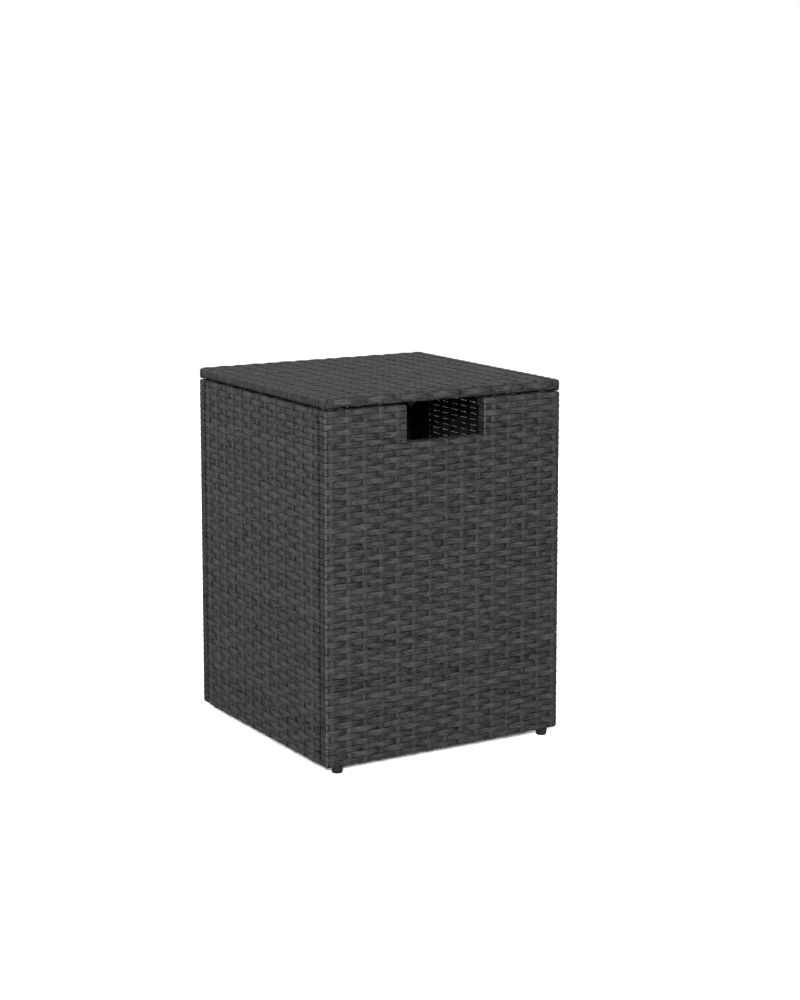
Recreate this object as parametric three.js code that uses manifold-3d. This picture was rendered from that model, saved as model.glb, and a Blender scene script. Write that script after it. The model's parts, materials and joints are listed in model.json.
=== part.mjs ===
// Propane tank cover table: a square woven cover that stands over a gas bottle, with a lift-off table top.
// Millimetres, +Z up. The front, with its finger notch, faces -Y. The origin is on the ground under the
// table's middle.

import * as THREE from 'three';
import { mergeVertices } from 'three/addons/utils/BufferGeometryUtils.js';
import Module from 'manifold-3d';

const wasm = await Module();
wasm.setup();

// Overall sizes
const tableWidth = 420;
const tableDepth = 420;
const panelHeight = 540;
const footHeight = 11.5;
const lidGap = 2.5; // dark gap between the walls and the lid

// Woven skins
const skinThickness = 1.7;
const cornerEase = 1; // how much rounder a panel's corner is than its edge
const lapWidth = 18; // how far the weave turns back over the inner face
const strandPitch = 9.6; // about, from one level strand to the next
const grooveWidth = 3.6; // of the V between two strands
const grooveDepth = 0.9;
const grooveMargin = 2; // from a panel's rounded edge to the ends of its grooves

// Clearances
const fitGap = 0.3;
const seamGap = 1; // between neighbouring wall panels
const overrun = 2; // how far a cutting tool runs past the wall it cuts
const snapsPerMillimetre = 4096; // corners lie on this grid, so that flush faces are exactly flush
const mergeDistance = 0.5 / snapsPerMillimetre;

// Square steel tube
const tubeSize = 15;
const tubeWall = 1.2;
const tubeCorner = 2;
const lidTubeSize = 12;
const lidTubeCorner = 3;
const lidBarSpacing = 130; // between the two bars that carry the middle of the lid
const sideRailHeight = 270; // the middle rail of a side frame
const drainDiameter = 5;
const drainInset = 60; // from a side frame's end to its drain hole

// Finger notch in the front and back walls, open under the lid
const notchWidth = 138;
const notchDepth = 57;
const notchCorner = 4;
const lowerRailHeight = 190;

// Angle brackets that join the side frames to the front and back frames
const bracketThickness = 3;
const bracketLength = 28; // along the front or back wall
const bracketLap = 22; // along the side frame
const bracketHeight = 18;
const boltInset = 32; // from the table's side to the bolts

// Bolts, washers and threaded inserts
const boltDiameter = 6;
const boltLength = 16;
const boltHeadDiameter = 11;
const boltHeadHeight = 3.3;
const hexSocketWidth = 4;
const hexSocketDepth = 2;
const headCrownShare = 0.6; // of the head's width, flat on top
const washerDiameter = 14;
const washerThickness = 1.5;
const insertDiameter = 9;
const insertLength = 10;
const insertFlangeDiameter = 13;

// Feet
const footTopDiameter = 18;
const footBottomDiameter = 14;
const footRound = 1.6;
const footInset = 23.5; // from the end of the front or back wall
const footStudDiameter = 6;
const footStudLength = 10;

// Pegs that seat the lid on the walls
const pegInset = 30; // from the side of the table
const pegPadDiameter = 11;
const pegStemDiameter = 7;
const pegStemLength = 9;
const pegTipDiameter = 4;
const pegRootDiameter = 6;
const pegRootLength = 8;

// How finely curves are cut into flats
const edgeSteps = 2;
const roundSides = 14;
const fastenerSides = 10;

// Sizes that follow from the ones above
const skinAndGap = skinThickness + fitGap;
const panelThickness = tubeSize + 2 * skinAndGap;
const lidThickness = lidTubeSize + 2 * skinAndGap;
const sidePanelWidth = tableDepth - 2 * (panelThickness + seamGap);
const panelTop = footHeight + panelHeight;
const tubeInset = skinAndGap + tubeSize / 2; // from a panel's edge to the middle of its tube
const lidTubeInset = skinAndGap + lidTubeSize / 2;
const upperRailHeight = panelHeight - notchDepth - tubeInset;
const bracketGap = seamGap + skinAndGap; // from a bracket to the inner face of a front or back wall
const insertFlangeThickness = bracketGap - fitGap + skinThickness;

// Materials

function finish(colour, roughness, metalness) {
  return new THREE.MeshStandardMaterial({ color: colour, roughness, metalness });
}

const strandFinish = finish(0x454546, 0.5, 0);
const paintedSteel = finish(0x1c1c1d, 0.55, 0.4);
const zincSteel = finish(0xa9abad, 0.35, 0.9);
const blackPlastic = finish(0x161616, 0.6, 0);

// Helpers that turn geometries into solids and back

function solid(geometry) {
  const bare = geometry.index ? geometry.toNonIndexed() : geometry.clone();
  bare.deleteAttribute('normal');
  bare.deleteAttribute('uv');
  const places = bare.attributes.position.array;
  places.forEach((value, i) => {
    places[i] = Math.round(value * snapsPerMillimetre) / snapsPerMillimetre;
  });
  const merged = mergeVertices(bare, mergeDistance);
  const corners = merged.index.array;
  const kept = [];
  for (let i = 0; i < corners.length; i += 3) {
    const [a, b, c] = corners.slice(i, i + 3);
    if (a !== b && b !== c && c !== a) kept.push(a, b, c);
  }
  const mesh = new wasm.Mesh({
    numProp: 3,
    vertProperties: new Float32Array(merged.attributes.position.array),
    triVerts: new Uint32Array(kept),
  });
  return new wasm.Manifold(mesh);
}

function joined(solids) {
  return solids.reduce((whole, piece) => whole.add(piece));
}

function cut(body, tools) {
  return tools.reduce((left, tool) => left.subtract(tool), body);
}

function named(name, body, material) {
  const data = body.getMesh();
  const geometry = new THREE.BufferGeometry();
  geometry.setAttribute('position', new THREE.BufferAttribute(data.vertProperties, 3));
  geometry.setIndex(new THREE.BufferAttribute(data.triVerts, 1));
  geometry.computeVertexNormals();
  const mesh = new THREE.Mesh(geometry, material);
  mesh.name = name;
  return mesh;
}

// Outlines. Every panel is drawn flat: x across it, y up it, and z from its inner face to its outer face.

function roundedOutline(corners) {
  const shape = new THREE.Shape();
  corners.forEach(([x, y, radius], i) => {
    const corner = new THREE.Vector2(x, y);
    const [beforeX, beforeY] = corners.at(i - 1);
    const [afterX, afterY] = corners[(i + 1) % corners.length];
    const into = new THREE.Vector2(x - beforeX, y - beforeY).normalize();
    const out = new THREE.Vector2(afterX - x, afterY - y).normalize();
    const start = corner.clone().addScaledVector(into, -radius);
    const end = corner.clone().addScaledVector(out, radius);
    const centre = start.clone().addScaledVector(out, radius);
    const turnsRight = into.cross(out) < 0;
    if (i === 0) shape.moveTo(start.x, start.y);
    else shape.lineTo(start.x, start.y);
    const startAngle = start.sub(centre).angle();
    const endAngle = end.sub(centre).angle();
    shape.absarc(centre.x, centre.y, radius, startAngle, endAngle, turnsRight);
  });
  shape.closePath();
  return shape;
}

// A plain panel's outline, drawn in from its true edge by inset. Its corners stay concentric.
function plainOutline(width, height, corner, inset) {
  const x = width / 2 - inset;
  const low = inset;
  const high = height - inset;
  const radius = Math.max(corner - inset, fitGap);
  return roundedOutline([
    [-x, low, radius],
    [x, low, radius],
    [x, high, radius],
    [-x, high, radius],
  ]);
}

// The same with the finger notch, which an inset makes larger.
function notchedOutline(width, height, corner, inset) {
  const x = width / 2 - inset;
  const low = inset;
  const high = height - inset;
  const radius = Math.max(corner - inset, fitGap);
  const jamb = notchWidth / 2 + inset;
  const sill = height - notchDepth - inset;
  const sillRadius = notchCorner + inset;
  return roundedOutline([
    [-x, low, radius],
    [x, low, radius],
    [x, high, radius],
    [jamb, high, radius],
    [jamb, sill, sillRadius],
    [-jamb, sill, sillRadius],
    [-jamb, high, radius],
    [-x, high, radius],
  ]);
}

// A plate between two depths, with square edges.
function plate(shape, low, high) {
  const settings = { depth: high - low, bevelEnabled: false, curveSegments: edgeSteps / 2 };
  return solid(new THREE.ExtrudeGeometry(shape, settings).translate(0, 0, low));
}

// A plate between two depths, with its edges rounded all round.
function softPlate(shape, low, high, radius) {
  const settings = {
    depth: high - low - 2 * radius,
    bevelEnabled: true,
    bevelThickness: radius,
    bevelSize: radius,
    bevelOffset: -radius,
    bevelSegments: edgeSteps,
    curveSegments: edgeSteps / 2,
  };
  return solid(new THREE.ExtrudeGeometry(shape, settings).translate(0, 0, low + radius));
}

// Woven skins

// The seams between the level strands that fill a panel of this height
function seamHeights(height) {
  const strands = Math.round(height / strandPitch);
  const heights = [];
  for (let i = 1; i < strands; i += 1) heights.push((height * i) / strands);
  return heights;
}

// The seams of a plain panel's flat face, each as [left, right, height].
function plainSeams(width, height, edge) {
  const x = width / 2 - edge - grooveMargin;
  return seamHeights(height).map((y) => [-x, x, y]);
}

// The same with the finger notch, which parts the upper ones.
function notchedSeams(width, height, edge) {
  const x = width / 2 - edge - grooveMargin;
  const jamb = notchWidth / 2 + edge + grooveMargin;
  const sill = height - notchDepth - edge - grooveMargin;
  return seamHeights(height).flatMap((y) => {
    return y < sill ? [[-x, x, y]] : [[-x, -jamb, y], [jamb, x, y]];
  });
}

// The V-shaped groove along a seam, as a wedge that runs out of the outer face.
function strandGroove([left, right, y], face) {
  const shape = new THREE.Shape();
  shape.moveTo(grooveDepth - face, y);
  shape.lineTo(-grooveDepth - face, y + grooveWidth);
  shape.lineTo(-grooveDepth - face, y - grooveWidth);
  shape.closePath();
  const wedge = new THREE.ExtrudeGeometry(shape, { depth: right - left, bevelEnabled: false });
  return solid(wedge.rotateY(Math.PI / 2).translate(left, 0, 0));
}

// A woven skin is one sheet over the outer face, with a groove between every two level strands. It turns
// round the frame's outer tubes and laps over their backs.
function wovenSkin(outline, seams, width, height, thickness, tubeRadius) {
  const edge = tubeRadius + skinAndGap;
  const corner = edge + cornerEase;
  const slab = softPlate(outline(width, height, corner, 0), 0, thickness, edge);
  const pocketOutline = outline(width, height, corner, skinThickness);
  const pocket = softPlate(pocketOutline, skinThickness, thickness - skinThickness, tubeRadius + fitGap);
  const mouth = plate(outline(width, height, corner, lapWidth), -overrun, thickness / 2);
  const grooves = seams(width, height, edge).map((seam) => strandGroove(seam, thickness));
  return cut(slab, [pocket, mouth, ...grooves]);
}

// Steel frames

// A window between tubes, [left, right, low, high], as a block drawn out by growth.
function windowBlock([left, right, low, high], growth, thickness) {
  const block = new THREE.BoxGeometry(right - left + 2 * growth, high - low + 2 * growth, 2 * thickness);
  return solid(block.translate((left + right) / 2, (low + high) / 2, 0));
}

// A frame of square tube, all of one size, welded into one hollow piece with windows between its tubes.
function tubeFrame(outline, width, height, size, corner, windows) {
  const thickness = size + 2 * skinAndGap;
  const round = corner + skinAndGap + cornerEase;
  const inset = skinAndGap + tubeWall;
  const steelOutline = outline(width, height, round, skinAndGap);
  const outside = softPlate(steelOutline, skinAndGap, thickness - skinAndGap, corner);
  const inside = plate(outline(width, height, round, inset), inset, thickness - inset);
  const blocks = (growth) => windows.map((window) => windowBlock(window, growth, thickness));
  return cut(outside, blocks(0)).subtract(cut(inside, blocks(tubeWall)));
}

// Round cutters, along z, along y and along x
function rodThrough(x, y, low, high, diameter) {
  const geometry = new THREE.CylinderGeometry(diameter / 2, diameter / 2, high - low, roundSides);
  return solid(geometry.rotateX(Math.PI / 2).translate(x, y, (low + high) / 2));
}

function rodUp(x, z, low, high, diameter) {
  const geometry = new THREE.CylinderGeometry(diameter / 2, diameter / 2, high - low, roundSides);
  return solid(geometry.translate(x, (low + high) / 2, z));
}

function rodAcross(y, z, low, high, diameter) {
  const geometry = new THREE.CylinderGeometry(diameter / 2, diameter / 2, high - low, roundSides);
  return solid(geometry.rotateZ(Math.PI / 2).translate((low + high) / 2, y, z));
}

// Places along a front or back wall, which both mirror about the middle
const bothSides = [-1, 1];
const boltX = tableWidth / 2 - boltInset;
const footX = tableWidth / 2 - footInset;
const pegX = tableWidth / 2 - pegInset;
const pegZ = panelThickness - lidTubeInset; // the pegs stand under the middle of the lid's outer tubes
const railHeights = [lowerRailHeight, upperRailHeight];

const boltPlaces = railHeights.flatMap((height) => bothSides.map((side) => [side * boltX, height]));

function footHoles() {
  const diameter = footStudDiameter + 2 * fitGap;
  return bothSides.map((side) => rodUp(side * footX, panelThickness / 2, -overrun, tubeInset, diameter));
}

function pegHoles() {
  const diameter = pegStemDiameter + 2 * fitGap;
  const low = panelHeight - tubeInset;
  return bothSides.map((side) => rodUp(side * pegX, pegZ, low, panelHeight + overrun, diameter));
}

function insertHoles() {
  const diameter = insertDiameter + 2 * fitGap;
  return boltPlaces.map(([x, y]) => rodThrough(x, y, -overrun, panelThickness / 2, diameter));
}

// The spaces between level rails at these heights, from one x to another.
function windowsBetween(left, right, heights, size) {
  return heights.slice(1).map((height, i) => [left, right, heights[i] + size / 2, height - size / 2]);
}

// The front and back frames are alike. Two short posts on a rail of full width frame the notch.
function notchedFrame() {
  const x = tableWidth / 2 - skinAndGap - tubeSize;
  const jamb = notchWidth / 2 + skinAndGap + tubeSize;
  const topRail = panelHeight - tubeInset;
  const besideNotch = [upperRailHeight, topRail];
  const windows = [
    ...windowsBetween(-x, x, [tubeInset, lowerRailHeight, upperRailHeight], tubeSize),
    ...windowsBetween(-x, -jamb, besideNotch, tubeSize),
    ...windowsBetween(jamb, x, besideNotch, tubeSize),
  ];
  const frame = tubeFrame(notchedOutline, tableWidth, panelHeight, tubeSize, tubeCorner, windows);
  return cut(frame, [...insertHoles(), ...footHoles(), ...pegHoles()]);
}

// An angle bracket on a side frame's end post, as an outline in x and -z drawn up by its height. Its free
// leg is flush with the post's end face.
// side says which end it is on, and growth makes it larger all round, for the cutter that clears its way.
function angleBracket(side, height, growth) {
  const end = sidePanelWidth / 2 - skinAndGap + growth;
  const back = end - bracketThickness - 2 * growth;
  const lapEnd = sidePanelWidth / 2 - bracketLap - growth;
  const root = -(skinAndGap + tubeWall / 2 + growth);
  const face = bracketThickness - skinAndGap + growth;
  const tip = bracketLength - skinAndGap + growth;
  const shape = new THREE.Shape();
  shape.moveTo(side * lapEnd, root);
  shape.lineTo(side * end, root);
  shape.lineTo(side * end, tip);
  shape.lineTo(side * back, tip);
  shape.lineTo(side * back, face);
  shape.lineTo(side * lapEnd, face);
  shape.closePath();
  const tall = bracketHeight + 2 * growth;
  const geometry = new THREE.ExtrudeGeometry(shape, { depth: tall, bevelEnabled: false });
  return solid(geometry.rotateX(-Math.PI / 2).translate(0, height - tall / 2, 0));
}

function brackets(growth) {
  return railHeights.flatMap((height) => bothSides.map((side) => angleBracket(side, height, growth)));
}

function sideFrame() {
  const x = sidePanelWidth / 2 - skinAndGap - tubeSize;
  const windows = windowsBetween(-x, x, [tubeInset, sideRailHeight, panelHeight - tubeInset], tubeSize);
  const frame = tubeFrame(plainOutline, sidePanelWidth, panelHeight, tubeSize, tubeCorner, windows);
  const drainX = sidePanelWidth / 2 - drainInset;
  const drains = bothSides.map((side) => {
    return rodUp(side * drainX, panelThickness / 2, -overrun, tubeInset, drainDiameter);
  });
  const reach = sidePanelWidth / 2 + panelThickness;
  const boltZ = panelThickness - boltInset;
  const boltHoles = railHeights.map((height) => {
    return rodAcross(height, boltZ, -reach, reach, boltDiameter + 2 * fitGap);
  });
  return cut(joined([cut(frame, drains), ...brackets(0)]), boltHoles);
}

// The lid's frame lies flat, with its front edge at y 0 and two bars across its middle.
function lidFrame() {
  const x = tableWidth / 2 - skinAndGap - lidTubeSize;
  const low = skinAndGap + lidTubeSize;
  const high = tableDepth - low;
  const barInside = (lidBarSpacing - lidTubeSize) / 2;
  const barOutside = (lidBarSpacing + lidTubeSize) / 2;
  const windows = [
    [-x, -barOutside, low, high],
    [-barInside, barInside, low, high],
    [barOutside, x, low, high],
  ];
  const frame = tubeFrame(plainOutline, tableWidth, tableDepth, lidTubeSize, lidTubeCorner, windows);
  return cut(frame, lidPegHoles());
}

const lidPegRows = [lidTubeInset, tableDepth - lidTubeInset];
const lidPegPlaces = lidPegRows.flatMap((y) => bothSides.map((side) => [side * pegX, y]));

function lidPegHoles() {
  const diameter = pegRootDiameter + 2 * fitGap;
  return lidPegPlaces.map(([x, y]) => rodThrough(x, y, -overrun, lidThickness / 2, diameter));
}

// Small turned pieces

// A solid turned about y from [radius, height] points that run up its outside.
function turned(points, sides) {
  const profile = points.map(([radius, height]) => new THREE.Vector2(radius, height));
  return new THREE.LatheGeometry(profile, sides);
}

// A moulded foot with its stud. Its top is at height 0.
function foot() {
  const bottom = fitGap - footHeight;
  const points = [
    [0, bottom],
    [footBottomDiameter / 2 - footRound, bottom],
  ];
  for (let step = 1; step <= edgeSteps; step += 1) {
    const angle = (Math.PI / 2) * (step / edgeSteps);
    const radius = footBottomDiameter / 2 - footRound + footRound * Math.sin(angle);
    points.push([radius, bottom + footRound * (1 - Math.cos(angle))]);
  }
  points.push([footTopDiameter / 2, 0]);
  points.push([footStudDiameter / 2, 0]);
  points.push([footStudDiameter / 2, footStudLength]);
  points.push([0, footStudLength]);
  return solid(turned(points, roundSides));
}

// A peg with a pad that the lid rests on, a tapered stem below it and a root that fits in the lid's frame.
function peg() {
  const padThickness = lidGap - 2 * fitGap;
  const points = [
    [0, -padThickness - pegStemLength],
    [pegTipDiameter / 2, -padThickness - pegStemLength],
    [pegStemDiameter / 2, -padThickness - pegStemLength / 2],
    [pegStemDiameter / 2, -padThickness],
    [pegPadDiameter / 2, -padThickness],
    [pegPadDiameter / 2, 0],
    [pegRootDiameter / 2, 0],
    [pegRootDiameter / 2, pegRootLength],
    [0, pegRootLength],
  ];
  return solid(turned(points, fastenerSides).rotateX(Math.PI / 2));
}

// A button-head bolt along z, with a hexagon socket. The head's underside is at z 0, and its shank runs
// to +z.
function bolt() {
  const crownRadius = (boltHeadDiameter * headCrownShare) / 2;
  const points = [
    [0, -boltLength],
    [boltDiameter / 2, -boltLength],
    [boltDiameter / 2, 0],
    [boltHeadDiameter / 2, 0],
    [boltHeadDiameter / 2, boltHeadHeight / 2],
    [crownRadius, boltHeadHeight],
    [0, boltHeadHeight],
  ];
  const body = turned(points, fastenerSides).rotateX(-Math.PI / 2);
  const socketRadius = hexSocketWidth / Math.sqrt(3);
  const socket = new THREE.CylinderGeometry(socketRadius, socketRadius, 2 * hexSocketDepth, 6);
  return solid(body).subtract(solid(socket.rotateX(Math.PI / 2).translate(0, 0, -boltHeadHeight)));
}

// A flat ring along z, from z 0 up.
function washer() {
  const bore = boltDiameter / 2 + fitGap;
  const points = [
    [bore, 0],
    [washerDiameter / 2, 0],
    [washerDiameter / 2, washerThickness],
    [bore, washerThickness],
    [bore, 0],
  ];
  return solid(turned(points, fastenerSides).rotateX(Math.PI / 2));
}

// A threaded insert along z. Its thick flange starts at z 0 and holds a bracket off the wall, and its body
// runs on to +z.
function insert() {
  const bore = boltDiameter / 2 + fitGap;
  const length = insertFlangeThickness + insertLength;
  const points = [
    [bore, 0],
    [insertFlangeDiameter / 2, 0],
    [insertFlangeDiameter / 2, insertFlangeThickness],
    [insertDiameter / 2, insertFlangeThickness],
    [insertDiameter / 2, length],
    [bore, length],
    [bore, 0],
  ];
  return solid(turned(points, fastenerSides).rotateX(Math.PI / 2));
}

// Assembly

function placed(mesh, x, y, z) {
  mesh.position.set(x, y, z);
  return mesh;
}

// A wall stands on its own turned group. half is the distance from the middle of the table to the wall's
// outer face.
function wall(name, turn, half, pieces) {
  const standing = new THREE.Group();
  standing.rotation.x = Math.PI / 2;
  standing.position.set(0, panelThickness - half, footHeight);
  standing.add(...pieces);
  const turntable = new THREE.Group();
  turntable.name = `${name}_wall`;
  turntable.rotation.z = turn;
  turntable.add(standing);
  return turntable;
}

// A front or back wall with its inserts, bolts, washers and feet. leftSide is the side of x that is on the
// left of the whole table.
function endWall(name, turn, leftSide) {
  const outline = [notchedOutline, notchedSeams];
  const skin = wovenSkin(...outline, tableWidth, panelHeight, panelThickness, tubeCorner);
  const pieces = [
    named(`${name}_frame`, notchedFrame(), paintedSteel),
    named(`${name}_weave`, cut(skin, [...footHoles(), ...pegHoles()]), strandFinish),
  ];
  const washerZ = -bracketGap - bracketThickness - fitGap - washerThickness;
  const insertZ = fitGap - bracketGap;
  for (const [x, y] of boltPlaces) {
    const hand = Math.sign(x) === leftSide ? 'left' : 'right';
    const level = y === upperRailHeight ? 'upper' : 'lower';
    const place = `${name}_${hand}_${level}`;
    pieces.push(placed(named(`${place}_insert`, insert(), zincSteel), x, y, insertZ));
    pieces.push(placed(named(`${place}_washer`, washer(), zincSteel), x, y, washerZ));
    pieces.push(placed(named(`${place}_bolt`, bolt(), zincSteel), x, y, washerZ - fitGap));
  }
  for (const side of bothSides) {
    const hand = side === leftSide ? 'left' : 'right';
    const glide = named(`${name}_${hand}_foot`, foot(), blackPlastic);
    pieces.push(placed(glide, side * footX, -fitGap, panelThickness / 2));
  }
  return wall(name, turn, tableDepth / 2, pieces);
}

function sideWall(name, turn) {
  const outline = [plainOutline, plainSeams];
  const skin = wovenSkin(...outline, sidePanelWidth, panelHeight, panelThickness, tubeCorner);
  return wall(name, turn, tableWidth / 2, [
    named(`${name}_frame`, sideFrame(), paintedSteel),
    named(`${name}_weave`, cut(skin, brackets(fitGap)), strandFinish),
  ]);
}

function lid() {
  const top = new THREE.Group();
  top.name = 'lid';
  top.position.set(0, -tableDepth / 2, panelTop + lidGap);
  const outline = [plainOutline, plainSeams];
  const skin = wovenSkin(...outline, tableWidth, tableDepth, lidThickness, lidTubeCorner);
  top.add(named('lid_frame', lidFrame(), paintedSteel));
  top.add(named('lid_weave', cut(skin, lidPegHoles()), strandFinish));
  for (const [x, y] of lidPegPlaces) {
    const end = y < tableDepth / 2 ? 'front' : 'back';
    const hand = x < 0 ? 'left' : 'right';
    top.add(placed(named(`${end}_${hand}_peg`, peg(), blackPlastic), x, y, -fitGap));
  }
  return top;
}

const group = new THREE.Group();
group.name = 'propane_tank_cover_table';
group.add(endWall('front', 0, -1));
group.add(endWall('back', Math.PI, 1));
group.add(sideWall('left', -Math.PI / 2));
group.add(sideWall('right', Math.PI / 2));
group.add(lid());

export default group;
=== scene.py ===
# %% [markdown]
# # A woven cover table for a gas bottle
#
# The object is a square box with four walls of flat plastic wicker and a woven lid that lifts off. Its
# steel frames arrive as finished solids, and this script only paints them. The woven skins arrive as plain
# sheets with a groove between the rows. Here each one is replaced by real strands that pass over and under
# each other, because the weave is what the eye sees first on such a table. The feet, pegs, bolts, washers
# and inserts are replaced by rounder shapes in the same places.

import json
import math

import bmesh
import bpy
from mathutils import Matrix, Vector


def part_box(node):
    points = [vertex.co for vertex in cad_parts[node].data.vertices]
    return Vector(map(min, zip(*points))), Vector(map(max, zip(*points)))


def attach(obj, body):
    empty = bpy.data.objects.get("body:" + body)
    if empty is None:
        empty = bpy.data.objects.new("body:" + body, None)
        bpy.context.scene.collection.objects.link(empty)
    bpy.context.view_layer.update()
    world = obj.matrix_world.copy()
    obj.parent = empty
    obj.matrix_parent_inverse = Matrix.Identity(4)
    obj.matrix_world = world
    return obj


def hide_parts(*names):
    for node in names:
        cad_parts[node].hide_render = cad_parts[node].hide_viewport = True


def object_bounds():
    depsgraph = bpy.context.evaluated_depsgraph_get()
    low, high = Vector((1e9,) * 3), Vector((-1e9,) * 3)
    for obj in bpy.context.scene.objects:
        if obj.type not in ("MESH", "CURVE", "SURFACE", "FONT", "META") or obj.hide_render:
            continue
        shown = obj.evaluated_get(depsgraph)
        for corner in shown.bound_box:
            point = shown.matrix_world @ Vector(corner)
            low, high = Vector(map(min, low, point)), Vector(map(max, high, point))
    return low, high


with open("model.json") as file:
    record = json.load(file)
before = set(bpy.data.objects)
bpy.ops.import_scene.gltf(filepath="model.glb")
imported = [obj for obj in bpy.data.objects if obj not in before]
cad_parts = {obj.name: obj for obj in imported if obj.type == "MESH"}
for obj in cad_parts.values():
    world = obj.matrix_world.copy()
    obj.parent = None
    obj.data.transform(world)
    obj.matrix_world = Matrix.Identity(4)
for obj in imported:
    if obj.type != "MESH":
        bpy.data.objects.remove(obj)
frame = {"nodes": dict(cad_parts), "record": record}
cad_low, cad_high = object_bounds()
scene = bpy.context.scene
scene.view_settings.view_transform = "Standard"
print("size in millimetres:", [round(1000 * side) for side in cad_high - cad_low])

# %% [markdown]
# ## Camera
#
# The table is seen from a little above, turned so that its front takes two thirds of the picture and its
# left side one third. A photographer of furniture shifts the lens so that upright edges stay upright. A
# large shift would throw the object out of the middle in every other view, so this camera takes a small
# shift and makes up the rest by tilting down a few degrees.

# %% Make the camera
CAMERA_PLACE = Vector((-1.6986, -2.8901, 1.0140))
CAMERA_TURN = math.radians(-31.101)
CAMERA_TILT = math.radians(7.725)
CAMERA_LENS = 76.41
CAMERA_SHIFT = -0.12

camera_data = bpy.data.cameras.new("camera")
camera_data.lens = CAMERA_LENS
camera_data.shift_y = CAMERA_SHIFT
camera = bpy.data.objects.new("camera", camera_data)
camera.location = CAMERA_PLACE
camera.rotation_euler = (math.pi / 2 - CAMERA_TILT, 0, CAMERA_TURN)
scene.collection.objects.link(camera)
scene.camera = camera
camera_distance = (CAMERA_PLACE - (cad_low + cad_high) / 2).length
print("camera is", round(camera_distance, 2), "m from the middle of the table")

# %% [markdown]
# ## Floor and light
#
# A plain pale floor catches the table's shadow. It has to be white in the picture, but more lamp light
# would also bleach the dark strands. So the floor and the world show white to the camera by their own
# colour, through the Light Path node, while what lights the table stays at a plain level. The world is
# dimmer overhead than at the horizon, as in a room with bright walls, because an even one makes the lid
# paler than the walls. One strong, soft lamp above the camera lights the front and the left side, and two
# weak ones keep the back and the right side readable in other views.

# %% Helpers for node trees


def put(tree, kind, fields=None, **settings):
    """Adds a node, sets its properties, and fills or links its inputs by name or number."""
    node = tree.nodes.new(kind)
    for name, value in settings.items():
        setattr(node, name, value)
    for name, value in (fields or {}).items():
        socket = node.inputs[name]
        if isinstance(value, bpy.types.NodeSocket):
            tree.links.new(value, socket)
        else:
            socket.default_value = value
    return node


def material_tree(name):
    """A new material with an empty tree and a Principled shader on its output."""
    material = bpy.data.materials.new(name)
    material.use_nodes = True
    tree = material.node_tree
    tree.nodes.clear()
    shader = put(tree, "ShaderNodeBsdfPrincipled")
    output = put(tree, "ShaderNodeOutputMaterial")
    tree.links.new(shader.outputs["BSDF"], output.inputs["Surface"])
    return material, tree, shader, output


def from_srgb(*levels):
    """A colour picked on the screen, from 0 to 255, as the linear colour that shaders use."""
    linear = [((v / 255 + 0.055) / 1.055) ** 2.4 if v > 10 else v / 255 / 12.92 for v in levels]
    return (*linear, 1.0)


# %% Make the floor
FLOOR_HALF = 30.0
FLOOR_COLOUR = (0.85, 0.85, 0.85, 1.0)
FLOOR_SEEN = (4.6, 4.6, 4.6, 1.0)
FLOOR_ROUGHNESS = 0.9

floor_mesh = bpy.data.meshes.new("floor")
floor_corners = [(x * FLOOR_HALF, y * FLOOR_HALF, 0) for x, y in ((-1, -1), (1, -1), (1, 1), (-1, 1))]
floor_mesh.from_pydata(floor_corners, [], [(0, 1, 2, 3)])
floor = bpy.data.objects.new("floor", floor_mesh)
scene.collection.objects.link(floor)

floor_material, tree, shader, output = material_tree("pale_floor")
shader.inputs["Base Color"].default_value = FLOOR_COLOUR
shader.inputs["Roughness"].default_value = FLOOR_ROUGHNESS
plain = put(tree, "ShaderNodeBsdfDiffuse", {"Color": FLOOR_SEEN})
ray = put(tree, "ShaderNodeLightPath")
fields = {0: ray.outputs["Is Camera Ray"], 1: shader.outputs["BSDF"], 2: plain.outputs["BSDF"]}
mix = put(tree, "ShaderNodeMixShader", fields)
tree.links.new(mix.outputs[0], output.inputs["Surface"])
floor_mesh.materials.append(floor_material)

# %% Light the table
AMBIENT = 0.45
AMBIENT_ABOVE = 0.10

world = bpy.data.worlds.new("world")
scene.world = world
world.use_nodes = True
tree = world.node_tree
tree.nodes.clear()
ray = put(tree, "ShaderNodeLightPath")
kinds = {0: ray.outputs["Is Camera Ray"], 1: ray.outputs["Is Glossy Ray"]}
seen = put(tree, "ShaderNodeMath", kinds, operation="MAXIMUM")
kinds = {0: seen.outputs[0], 1: ray.outputs["Is Transmission Ray"]}
seen = put(tree, "ShaderNodeMath", kinds, operation="MAXIMUM")
way = put(tree, "ShaderNodeTexCoord").outputs["Generated"]
height = put(tree, "ShaderNodeSeparateXYZ", {0: way}).outputs["Z"]
dimmed = put(tree, "ShaderNodeMapRange", {"Value": height, "To Min": AMBIENT, "To Max": AMBIENT_ABOVE})
span = {"Value": seen.outputs[0], "To Min": dimmed.outputs["Result"], "To Max": 1.0}
strength = put(tree, "ShaderNodeMapRange", span)
sky = put(tree, "ShaderNodeBackground", {"Color": (1, 1, 1, 1), "Strength": strength.outputs["Result"]})
put(tree, "ShaderNodeOutputWorld", {"Surface": sky.outputs["Background"]})


# %% Place the lamps
TABLE_MIDDLE = (cad_low + cad_high) / 2
LAMP_SIZE = 1.0
LAMPS = {
    "key": ((-1.8, -2.86, 1.66), 92),
    "back": ((-1.7, 2.6, 0.7), 15),
    "right": ((2.6, 1.2, 0.8), 18),
}


def soft_box(name, place, watts):
    """A square area lamp at a place, aimed at the middle of the table."""
    data = bpy.data.lights.new(name, "AREA")
    data.size = LAMP_SIZE
    data.energy = watts
    lamp = bpy.data.objects.new(name, data)
    lamp.location = place
    lamp.rotation_euler = (TABLE_MIDDLE - Vector(place)).to_track_quat("-Z", "Y").to_euler()
    scene.collection.objects.link(lamp)


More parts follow.
